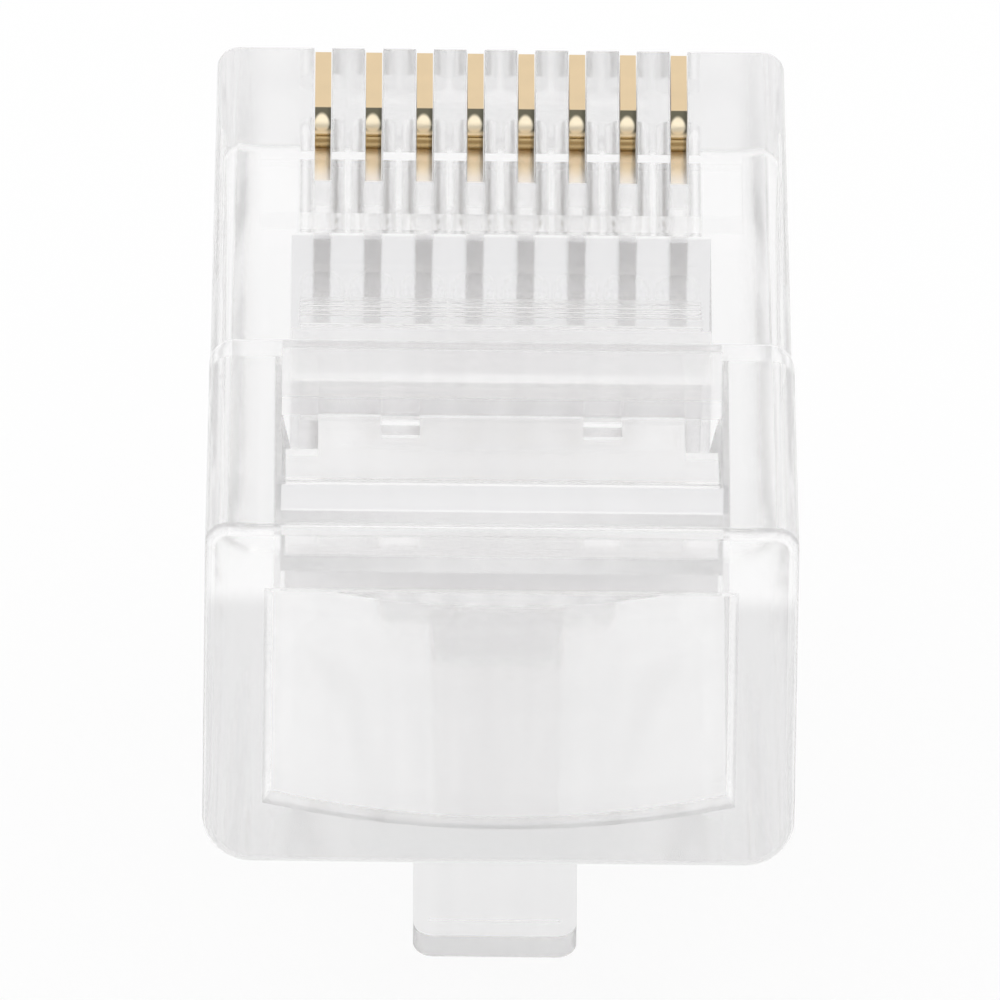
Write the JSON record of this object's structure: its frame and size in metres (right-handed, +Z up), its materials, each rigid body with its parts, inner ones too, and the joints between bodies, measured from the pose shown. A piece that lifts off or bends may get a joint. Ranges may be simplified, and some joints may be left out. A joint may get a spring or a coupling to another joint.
{
  "type": "rj45 modular plug",
  "caption": "Clear moulded modular plug for data cable, with gold blade contacts in open slots, a sprung latch lever underneath and hinged crimp-down clamps for wires and jacket.",
  "frame": {"origin": "middle of the nose's lower edge, where the nose face meets the latch side: the two faces a jack is measured from", "axes": "+X across the plug, +Y out of the nose towards the jack, +Z up to the contact side"},
  "size_m": [0.0116, 0.0215, 0.0125],
  "materials": {
    "clear_plastic": "clear polished moulding",
    "gold_contact": "gold plated, satin"
  },
  "bodies": {
    "housing": {"housing": "clear_plastic"},
    "latch": {"latch": "clear_plastic"},
    "wire_clamp": {"wire_clamp": "clear_plastic"},
    "jacket_clamp": {"jacket_clamp": "clear_plastic"},
    "contact_1": {"contact_1": "gold_contact"},
    "contact_2": {"contact_2": "gold_contact"},
    "contact_3": {"contact_3": "gold_contact"},
    "contact_4": {"contact_4": "gold_contact"},
    "contact_5": {"contact_5": "gold_contact"},
    "contact_6": {"contact_6": "gold_contact"},
    "contact_7": {"contact_7": "gold_contact"},
    "contact_8": {"contact_8": "gold_contact"}
  },
  "joints": [
    {"name": "latch_press", "type": "hinge", "parent": "housing", "child": "latch", "pos_m": [0, -0.0023, -0.00045], "axis": [-1, 0, 0], "range_deg": [0, 13], "stiffness_Nm_per_rad": 0.12},
    {"name": "wire_clamp_crimp", "type": "hinge", "parent": "housing", "child": "wire_clamp", "pos_m": [0, -0.01107, 0.00607], "axis": [-1, 0, 0], "range_deg": [0, 12]},
    {"name": "jacket_clamp_crimp", "type": "hinge", "parent": "housing", "child": "jacket_clamp", "pos_m": [0, -0.01948, 0.00737], "axis": [-1, 0, 0], "range_deg": [0, 18]},
    {"name": "contact_1_crimp", "type": "slide", "parent": "housing", "child": "contact_1", "axis": [0, 0, -1], "range_m": [0, 0.00045]},
    {"name": "contact_2_crimp", "type": "slide", "parent": "housing", "child": "contact_2", "axis": [0, 0, -1], "range_m": [0, 0.00045]},
    {"name": "contact_3_crimp", "type": "slide", "parent": "housing", "child": "contact_3", "axis": [0, 0, -1], "range_m": [0, 0.00045]},
    {"name": "contact_4_crimp", "type": "slide", "parent": "housing", "child": "contact_4", "axis": [0, 0, -1], "range_m": [0, 0.00045]},
    {"name": "contact_5_crimp", "type": "slide", "parent": "housing", "child": "contact_5", "axis": [0, 0, -1], "range_m": [0, 0.00045]},
    {"name": "contact_6_crimp", "type": "slide", "parent": "housing", "child": "contact_6", "axis": [0, 0, -1], "range_m": [0, 0.00045]},
    {"name": "contact_7_crimp", "type": "slide", "parent": "housing", "child": "contact_7", "axis": [0, 0, -1], "range_m": [0, 0.00045]},
    {"name": "contact_8_crimp", "type": "slide", "parent": "housing", "child": "contact_8", "axis": [0, 0, -1], "range_m": [0, 0.00045]}
  ]
}
